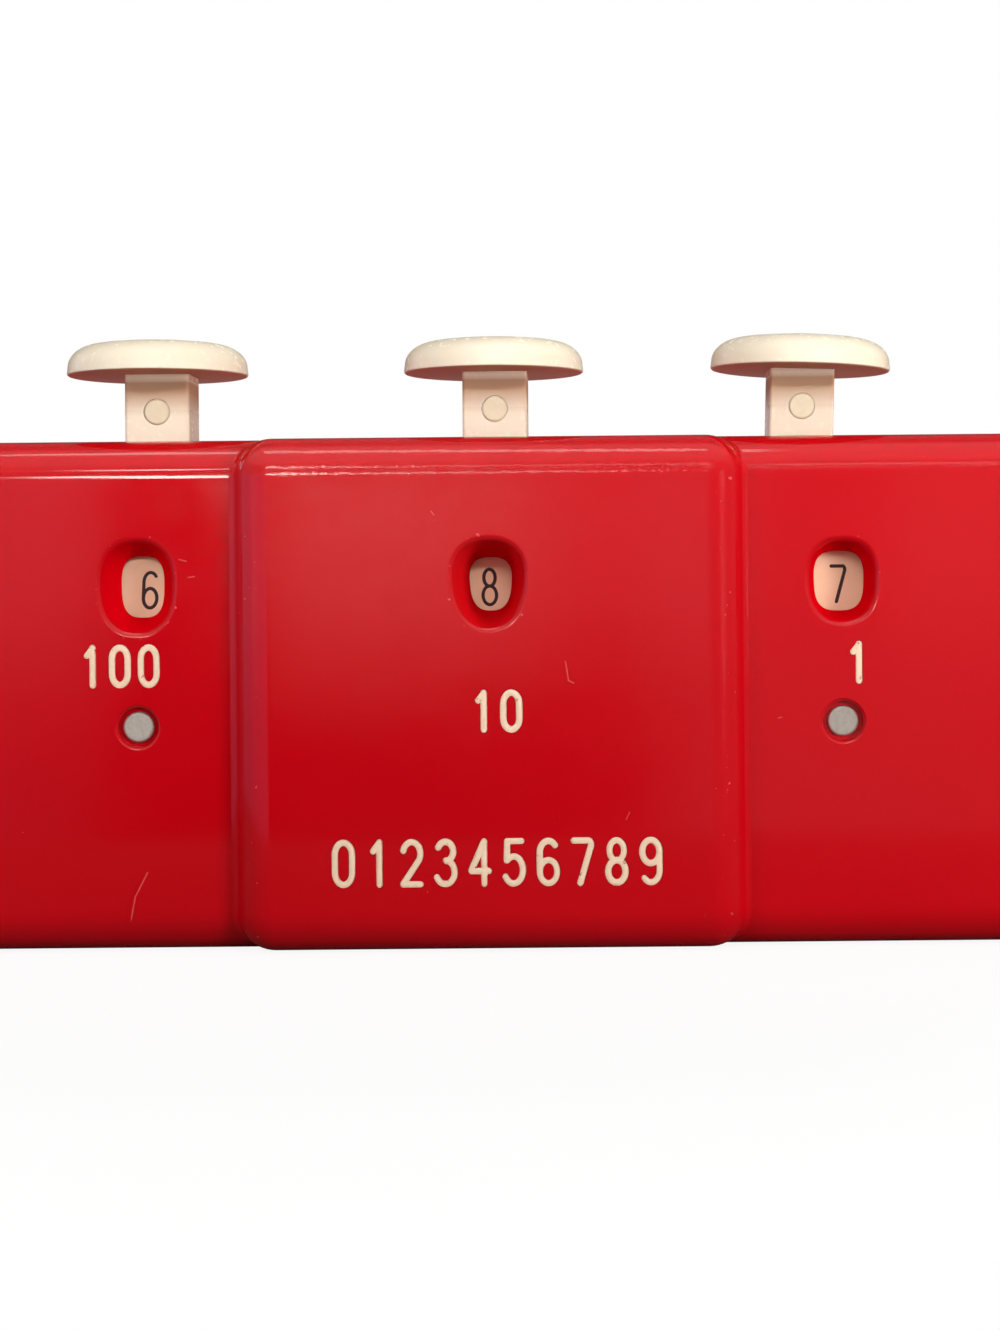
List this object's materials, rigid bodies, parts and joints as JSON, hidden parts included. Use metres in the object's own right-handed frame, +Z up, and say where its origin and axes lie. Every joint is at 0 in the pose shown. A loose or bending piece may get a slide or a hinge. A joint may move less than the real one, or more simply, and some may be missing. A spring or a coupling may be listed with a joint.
{
  "type": "push-button adder",
  "caption": "Hand-held push-button adder: a shallow case with a raised middle block, sprung buttons on square stems, and number wheels behind dished windows.",
  "frame": {"origin": "centre of the bounding box, on the flat base that the case stands on", "axes": "+X to the user's right along the case, +Y from the windows to the back, +Z up towards the buttons"},
  "size_m": [0.127, 0.029, 0.0693],
  "materials": {
    "red_plastic": "gloss",
    "ivory_plastic": "gloss",
    "pin_plastic": "satin",
    "inner_plastic": "satin",
    "dial_plastic": "satin",
    "aluminium": "satin",
    "plated_steel": "satin",
    "spring_steel": "satin"
  },
  "bodies": {
    "case": {"front_shell": "red_plastic", "back_cover": "red_plastic", "cover_screws": "plated_steel", "click_spring_screws": "plated_steel", "dollars_axle": "aluminium", "dollars_axle_washer": "plated_steel", "dollars_click_spring": "spring_steel", "dollars_return_spring": "spring_steel", "dimes_axle": "aluminium", "dimes_axle_washer": "plated_steel", "dimes_click_spring": "spring_steel", "dimes_return_spring": "spring_steel", "cents_axle": "aluminium", "cents_axle_washer": "plated_steel", "cents_click_spring": "spring_steel", "cents_return_spring": "spring_steel"},
    "dollars_push": {"dollars_button": "ivory_plastic", "dollars_button_pin": "pin_plastic", "dollars_carriage": "inner_plastic", "dollars_pawl_pin": "plated_steel", "dollars_pawl_spring": "spring_steel"},
    "dollars_pawl_body": {"dollars_pawl": "plated_steel"},
    "dollars_wheel": {"dollars_dial": "dial_plastic", "dollars_carry_wheel": "inner_plastic", "dollars_ratchet": "inner_plastic"},
    "dimes_push": {"dimes_button": "ivory_plastic", "dimes_button_pin": "pin_plastic", "dimes_carriage": "inner_plastic", "dimes_pawl_pin": "plated_steel", "dimes_pawl_spring": "spring_steel"},
    "dimes_pawl_body": {"dimes_pawl": "plated_steel"},
    "dimes_wheel": {"dimes_dial": "dial_plastic", "dimes_carry_wheel": "inner_plastic", "dimes_ratchet": "inner_plastic"},
    "cents_push": {"cents_button": "ivory_plastic", "cents_button_pin": "pin_plastic", "cents_carriage": "inner_plastic", "cents_pawl_pin": "plated_steel", "cents_pawl_spring": "spring_steel"},
    "cents_pawl_body": {"cents_pawl": "plated_steel"},
    "cents_wheel": {"cents_dial": "dial_plastic", "cents_carry_wheel": "inner_plastic", "cents_ratchet": "inner_plastic"}
  },
  "joints": [
    {"name": "dollars_press", "type": "slide", "parent": "case", "child": "dollars_push", "axis": [0, 0, -1], "range_m": [0, 0.0062], "stiffness_N_per_m": 220, "springref_m": -0.004, "deforming": ["dollars_return_spring"]},
    {"name": "dollars_turn", "type": "hinge", "parent": "case", "child": "dollars_wheel", "pos_m": [-0.03915, 0, 0.025], "axis": [0, 1, 0], "range_deg": [0, 36], "deforming": ["dollars_click_spring"]},
    {"name": "dollars_pawl_swing", "type": "hinge", "parent": "dollars_push", "child": "dollars_pawl_body", "pos_m": [-0.02615, 0, 0.037], "axis": [0, -1, 0], "range_deg": [0, 14], "stiffness_Nm_per_rad": 0.004, "springref_deg": -8.59, "deforming": ["dollars_pawl_spring"]},
    {"name": "dimes_press", "type": "slide", "parent": "case", "child": "dimes_push", "axis": [0, 0, -1], "range_m": [0, 0.0062], "stiffness_N_per_m": 220, "springref_m": -0.004, "deforming": ["dimes_return_spring"]},
    {"name": "dimes_turn", "type": "hinge", "parent": "case", "child": "dimes_wheel", "pos_m": [0, 0, 0.025], "axis": [0, -1, 0], "range_deg": [0, 36], "deforming": ["dimes_click_spring"]},
    {"name": "dimes_pawl_swing", "type": "hinge", "parent": "dimes_push", "child": "dimes_pawl_body", "pos_m": [-0.013, 0, 0.037], "axis": [0, 1, 0], "range_deg": [0, 14], "stiffness_Nm_per_rad": 0.004, "springref_deg": -8.59, "deforming": ["dimes_pawl_spring"]},
    {"name": "cents_press", "type": "slide", "parent": "case", "child": "cents_push", "axis": [0, 0, -1], "range_m": [0, 0.0062], "stiffness_N_per_m": 220, "springref_m": -0.004, "deforming": ["cents_return_spring"]},
    {"name": "cents_turn", "type": "hinge", "parent": "case", "child": "cents_wheel", "pos_m": [0.03915, 0, 0.025], "axis": [0, 1, 0], "range_deg": [0, 36], "deforming": ["cents_click_spring"]},
    {"name": "cents_pawl_swing", "type": "hinge", "parent": "cents_push", "child": "cents_pawl_body", "pos_m": [0.05215, 0, 0.037], "axis": [0, -1, 0], "range_deg": [0, 14], "stiffness_Nm_per_rad": 0.004, "springref_deg": -8.59, "deforming": ["cents_pawl_spring"]}
  ],
  "couplings": [
    {"joint": "dollars_turn", "follows": "dollars_press", "rad_per_m": 101.34},
    {"joint": "dimes_turn", "follows": "dimes_press", "rad_per_m": 101.34},
    {"joint": "cents_turn", "follows": "cents_press", "rad_per_m": 101.34}
  ]
}
